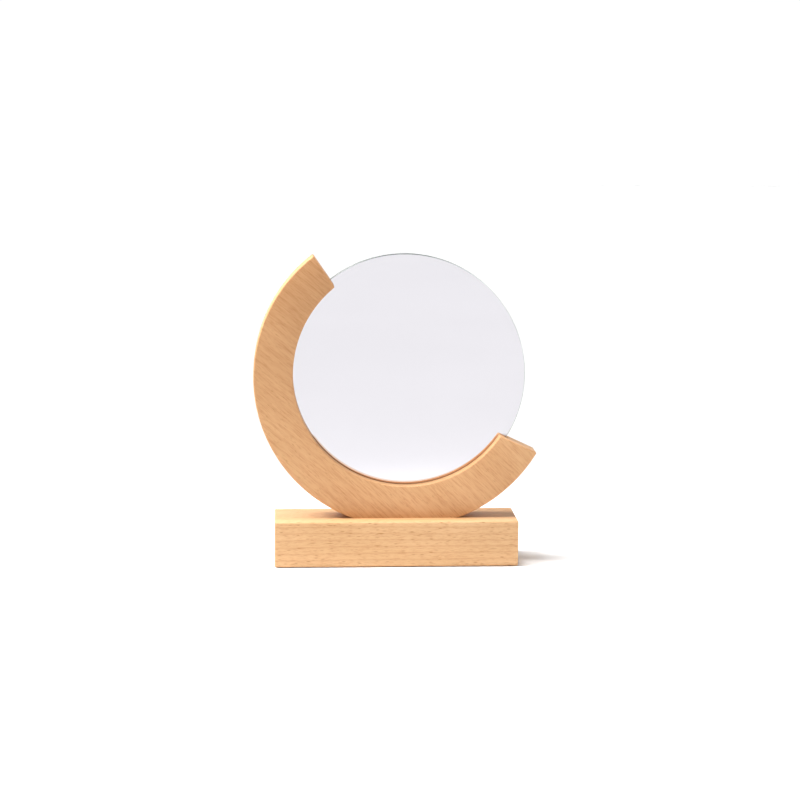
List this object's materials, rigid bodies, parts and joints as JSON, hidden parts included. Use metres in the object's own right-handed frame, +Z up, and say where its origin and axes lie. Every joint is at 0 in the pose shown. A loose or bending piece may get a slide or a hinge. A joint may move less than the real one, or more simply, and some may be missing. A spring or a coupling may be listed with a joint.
{
  "type": "countertop mirror",
  "caption": "Round frameless tabletop mirror held in the grooved inner edge of a beech crescent that stands on a rectangular beech block.",
  "frame": {"origin": "on the table, under the middle of the block", "axes": "+X to the right and +Y away from someone who looks into the mirror, +Z up"},
  "size_m": [0.2337, 0.055, 0.2566],
  "materials": {
    "beech_block": "steamed beech, sanded, clear satin lacquer",
    "beech_crescent": "steamed beech, sanded, clear satin lacquer",
    "beech_dowel": "raw beech",
    "mirror_glass": "silvered float glass with a polished rim",
    "backing_film": "grey backing paint under a safety film",
    "silicone": "cured silicone",
    "zinc_plated_steel": "zinc plated",
    "pad_rubber": "soft matt rubber"
  },
  "bodies": {
    "root": {"base_block": "beech_block", "crescent_frame": "beech_crescent", "mirror_glass": "mirror_glass", "mirror_backing": "backing_film", "groove_bedding": "silicone", "dowel_left": "beech_dowel", "dowel_right": "beech_dowel", "base_screws": "zinc_plated_steel", "foot_pad_front_left": "pad_rubber", "foot_pad_front_right": "pad_rubber", "foot_pad_back_left": "pad_rubber", "foot_pad_back_right": "pad_rubber"}
  },
  "joints": []
}
